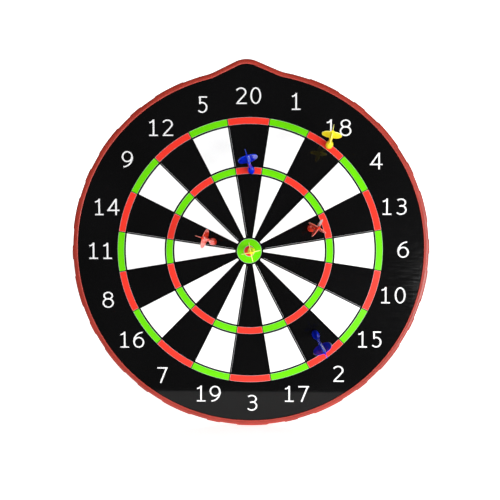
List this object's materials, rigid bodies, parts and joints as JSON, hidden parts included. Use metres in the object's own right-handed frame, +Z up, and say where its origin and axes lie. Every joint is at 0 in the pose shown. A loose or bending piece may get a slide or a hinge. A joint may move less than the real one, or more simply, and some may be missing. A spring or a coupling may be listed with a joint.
{
  "type": "magnetic dartboard",
  "caption": "Round wall-hung magnetic dartboard with a peaked top, red moulded rim, printed scoring face, hanging ring and round-headed magnetic darts on the face.",
  "frame": {"origin": "the point on the wall where a hook carries the hanging ring; the bull is 230 mm below it", "axes": "+Z up, +X to the viewer's right, the wall is the plane y = 0 and the printed face looks towards -Y"},
  "size_m": [0.459, 0.0881, 0.4711],
  "materials": {
    "fibre_core": "pressed fibre board, matte, brown flecks",
    "steel_sheet": "thin tinned sheet steel",
    "black_film": "glossy black laminate film",
    "back_cover": "charcoal embossed cover paper",
    "red_rim": "moulded red edging with a satin sheen",
    "white_ink": "white ink under gloss",
    "red_ink": "red ink under gloss",
    "green_ink": "lime green ink under gloss",
    "hairline_ink": "pale grey ink under gloss",
    "number_ink": "white ink under gloss",
    "hanger_steel": "zinc-plated pressed steel",
    "rivet_steel": "plated steel rivets",
    "ring_wire": "bright plated steel wire",
    "wall_pad_rubber": "black rubber with a fine grain",
    "blue_dart_plastic": "glossy deep blue moulded plastic",
    "yellow_dart_plastic": "glossy yellow moulded plastic",
    "red_dart_plastic": "glossy red moulded plastic",
    "blue_flight_plastic": "thin blue moulded plastic fins",
    "yellow_flight_plastic": "thin yellow moulded plastic fins",
    "red_flight_plastic": "thin red moulded plastic fins",
    "dart_magnet": "nickel-plated magnet"
  },
  "bodies": {
    "board": {"core_board": "fibre_core", "steel_sheet": "steel_sheet", "face_film": "black_film", "back_cover": "back_cover", "rim_upper": "red_rim", "rim_lower": "red_rim", "white_print": "white_ink", "red_print": "red_ink", "green_print": "green_ink", "hairline_print": "hairline_ink", "number_print": "number_ink", "hanger_strap": "hanger_steel", "hanger_rivets": "rivet_steel", "left_wall_pad": "wall_pad_rubber", "right_wall_pad": "wall_pad_rubber"},
    "hanger_ring": {"hanger_ring": "ring_wire"},
    "blue_dart_top": {"blue_dart_top_body": "blue_dart_plastic", "blue_dart_top_flight": "blue_flight_plastic", "blue_dart_top_magnet": "dart_magnet"},
    "yellow_dart_top": {"yellow_dart_top_body": "yellow_dart_plastic", "yellow_dart_top_flight": "yellow_flight_plastic", "yellow_dart_top_magnet": "dart_magnet"},
    "red_dart_left": {"red_dart_left_body": "red_dart_plastic", "red_dart_left_flight": "red_flight_plastic", "red_dart_left_magnet": "dart_magnet"},
    "red_dart_right": {"red_dart_right_body": "red_dart_plastic", "red_dart_right_flight": "red_flight_plastic", "red_dart_right_magnet": "dart_magnet"},
    "blue_dart_low": {"blue_dart_low_body": "blue_dart_plastic", "blue_dart_low_flight": "blue_flight_plastic", "blue_dart_low_magnet": "dart_magnet"},
    "yellow_dart_bull": {"yellow_dart_bull_body": "yellow_dart_plastic", "yellow_dart_bull_flight": "yellow_flight_plastic", "yellow_dart_bull_magnet": "dart_magnet"}
  },
  "joints": [
    {"name": "hanger_ring_fold", "type": "hinge", "parent": "board", "child": "hanger_ring", "pos_m": [0, -0.0027, -0.0098], "axis": [-1, 0, 0], "range_deg": [0, 180]},
    {"name": "blue_dart_top_pull", "type": "slide", "parent": "board", "child": "blue_dart_top", "axis": [0, -1, 0], "range_m": [0, 0.1]},
    {"name": "yellow_dart_top_pull", "type": "slide", "parent": "board", "child": "yellow_dart_top", "axis": [0, -1, 0], "range_m": [0, 0.1]},
    {"name": "red_dart_left_pull", "type": "slide", "parent": "board", "child": "red_dart_left", "axis": [0, -1, 0], "range_m": [0, 0.1]},
    {"name": "red_dart_right_pull", "type": "slide", "parent": "board", "child": "red_dart_right", "axis": [0, -1, 0], "range_m": [0, 0.1]},
    {"name": "blue_dart_low_pull", "type": "slide", "parent": "board", "child": "blue_dart_low", "axis": [0, -1, 0], "range_m": [0, 0.1]},
    {"name": "yellow_dart_bull_pull", "type": "slide", "parent": "board", "child": "yellow_dart_bull", "axis": [0, -1, 0], "range_m": [0, 0.1]}
  ]
}
